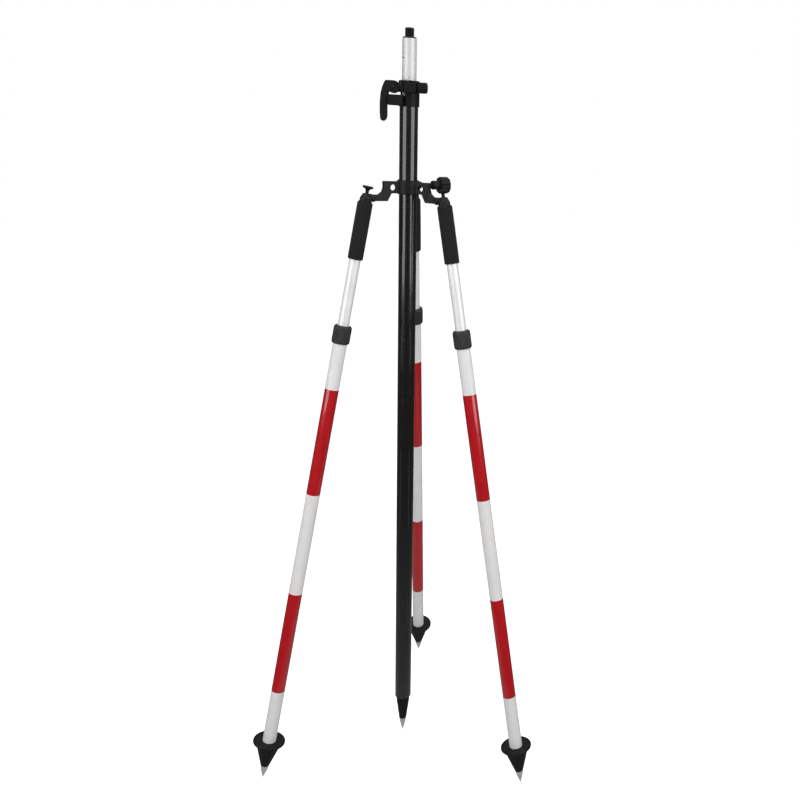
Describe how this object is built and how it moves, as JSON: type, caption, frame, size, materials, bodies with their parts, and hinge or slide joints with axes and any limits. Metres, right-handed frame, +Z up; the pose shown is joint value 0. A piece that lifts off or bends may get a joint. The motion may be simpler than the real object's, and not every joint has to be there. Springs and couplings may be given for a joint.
{
  "type": "surveyor tripod",
  "caption": "Free-standing surveying pole tripod: a telescopic pole with a lever clamp and a threaded top stud, held upright by slim red-and-white telescopic legs.",
  "frame": {"origin": "the tip of the pole's steel point, on the ground", "axes": "+Z up the pole; -Y the side that faces the picture's camera, with the lever clamp's ears; +X that camera's right"},
  "size_m": [0.5332, 0.4698, 1.3935],
  "materials": {
    "black_enamel": "glossy black enamel on aluminium tube",
    "white_enamel": "glossy white enamel on aluminium tube",
    "red_enamel": "glossy red enamel bands over the white",
    "bright_aluminium": "clear satin anodised tube",
    "black_anodised": "black anodised, turned",
    "black_nylon": "fine-grained moulded black",
    "black_foam": "closed-cell black foam sleeve",
    "head_casting": "dark semi-gloss paint on cast aluminium",
    "foot_casting": "dark semi-gloss paint on cast aluminium",
    "ground_steel": "turned and ground steel",
    "black_oxide": "black-oxidised steel",
    "white_acetal": "natural moulded acetal"
  },
  "bodies": {
    "head": {"head_casting": "head_casting", "leg_pivot_pins": "black_oxide"},
    "swivel": {"head_liner": "black_nylon"},
    "clamp_pad": {"pressure_pad": "white_acetal"},
    "clamp_knob": {"clamp_screw": "black_oxide", "clamp_knob": "black_nylon"},
    "pole": {"pole_outer_tube": "black_enamel", "pole_boot": "black_nylon", "pole_point": "ground_steel", "lever_clamp_body": "black_nylon", "clamp_bolt": "black_oxide", "clamp_nut": "black_nylon", "cam_pin": "black_oxide", "cam_saddle": "black_oxide"},
    "lever": {"cam_lever": "black_nylon"},
    "pole_upper": {"inner_pole_tube": "bright_aluminium", "pole_end_bush": "white_acetal", "instrument_stud": "black_anodised"},
    "leg_left": {"left_leg_head": "head_casting", "left_rod_guide": "white_acetal", "left_foam_grip": "black_foam", "left_inner_tube": "bright_aluminium", "left_lock_shoe": "white_acetal"},
    "leg_left_button": {"left_thumb_button": "black_nylon", "left_push_rod": "black_oxide", "left_lock_wedge": "ground_steel", "left_return_spring": "ground_steel"},
    "leg_left_lower": {"left_leg_collar": "black_nylon", "left_outer_tube": "white_enamel", "left_red_bands": "red_enamel", "left_foot_boot": "foot_casting", "left_foot_spike": "ground_steel"},
    "leg_right": {"right_leg_head": "head_casting", "right_rod_guide": "white_acetal", "right_foam_grip": "black_foam", "right_inner_tube": "bright_aluminium", "right_lock_shoe": "white_acetal"},
    "leg_right_button": {"right_thumb_button": "black_nylon", "right_push_rod": "black_oxide", "right_lock_wedge": "ground_steel", "right_return_spring": "ground_steel"},
    "leg_right_lower": {"right_leg_collar": "black_nylon", "right_outer_tube": "white_enamel", "right_red_bands": "red_enamel", "right_foot_boot": "foot_casting", "right_foot_spike": "ground_steel"},
    "leg_back": {"back_leg_head": "head_casting", "back_rod_guide": "white_acetal", "back_foam_grip": "black_foam", "back_inner_tube": "bright_aluminium", "back_lock_shoe": "white_acetal"},
    "leg_back_button": {"back_thumb_button": "black_nylon", "back_push_rod": "black_oxide", "back_lock_wedge": "ground_steel", "back_return_spring": "ground_steel"},
    "leg_back_lower": {"back_leg_collar": "black_nylon", "back_outer_tube": "white_enamel", "back_red_bands": "red_enamel", "back_foot_boot": "foot_casting", "back_foot_spike": "ground_steel"}
  },
  "joints": [
    {"name": "head_swivel", "type": "hinge", "parent": "head", "child": "swivel", "pos_m": [0, 0, 1.1265], "axis": [0, 0, 1], "continuous": true},
    {"name": "pole_height", "type": "slide", "parent": "swivel", "child": "pole", "axis": [0, 0, 1], "range_m": [-0.095, 0.9]},
    {"name": "pole_extension", "type": "slide", "parent": "pole", "child": "pole_upper", "axis": [0, 0, 1], "range_m": [-0.065, 0.8]},
    {"name": "pole_lever", "type": "hinge", "parent": "pole", "child": "lever", "pos_m": [-0.024, -0.0185, 1.2955], "axis": [0, 1, 0], "range_deg": [0, 90]},
    {"name": "pad_travel", "type": "slide", "parent": "head", "child": "clamp_pad", "axis": [0.866, 0.5, 0], "range_m": [0, 0.0025]},
    {"name": "knob_turn", "type": "hinge", "parent": "clamp_pad", "child": "clamp_knob", "pos_m": [0, 0, 1.1305], "axis": [0.866, 0.5, 0], "range_deg": [0, 725]},
    {"name": "left_leg_spread", "type": "hinge", "parent": "head", "child": "leg_left", "pos_m": [-0.05898, -0.03405, 1.1074], "axis": [-0.5, 0.866, 0], "range_deg": [-11.5, 35]},
    {"name": "left_leg_length", "type": "slide", "parent": "leg_left", "child": "leg_left_lower", "axis": [-0.1615, -0.0933, -0.9825], "range_m": [-0.11, 0.5]},
    {"name": "left_release", "type": "slide", "parent": "leg_left", "child": "leg_left_button", "axis": [-0.1615, -0.0933, -0.9825], "range_m": [0, 0.004], "stiffness_N_per_m": 600, "springref_m": -0.004, "deforming": ["left_return_spring"]},
    {"name": "right_leg_spread", "type": "hinge", "parent": "head", "child": "leg_right", "pos_m": [0.05898, -0.03405, 1.1074], "axis": [-0.5, -0.866, 0], "range_deg": [-11.5, 35]},
    {"name": "right_leg_length", "type": "slide", "parent": "leg_right", "child": "leg_right_lower", "axis": [0.1615, -0.0933, -0.9825], "range_m": [-0.11, 0.5]},
    {"name": "right_release", "type": "slide", "parent": "leg_right", "child": "leg_right_button", "axis": [0.1615, -0.0933, -0.9825], "range_m": [0, 0.004], "stiffness_N_per_m": 600, "springref_m": -0.004, "deforming": ["right_return_spring"]},
    {"name": "back_leg_spread", "type": "hinge", "parent": "head", "child": "leg_back", "pos_m": [0, 0.0681, 1.1074], "axis": [1, 0, 0], "range_deg": [-11.5, 35]},
    {"name": "back_leg_length", "type": "slide", "parent": "leg_back", "child": "leg_back_lower", "axis": [0, 0.1865, -0.9825], "range_m": [-0.11, 0.5]},
    {"name": "back_release", "type": "slide", "parent": "leg_back", "child": "leg_back_button", "axis": [0, 0.1865, -0.9825], "range_m": [0, 0.004], "stiffness_N_per_m": 600, "springref_m": -0.004, "deforming": ["back_return_spring"]}
  ],
  "couplings": [
    {"joint": "knob_turn", "follows": "pad_travel", "rad_per_m": 5026.5}
  ]
}
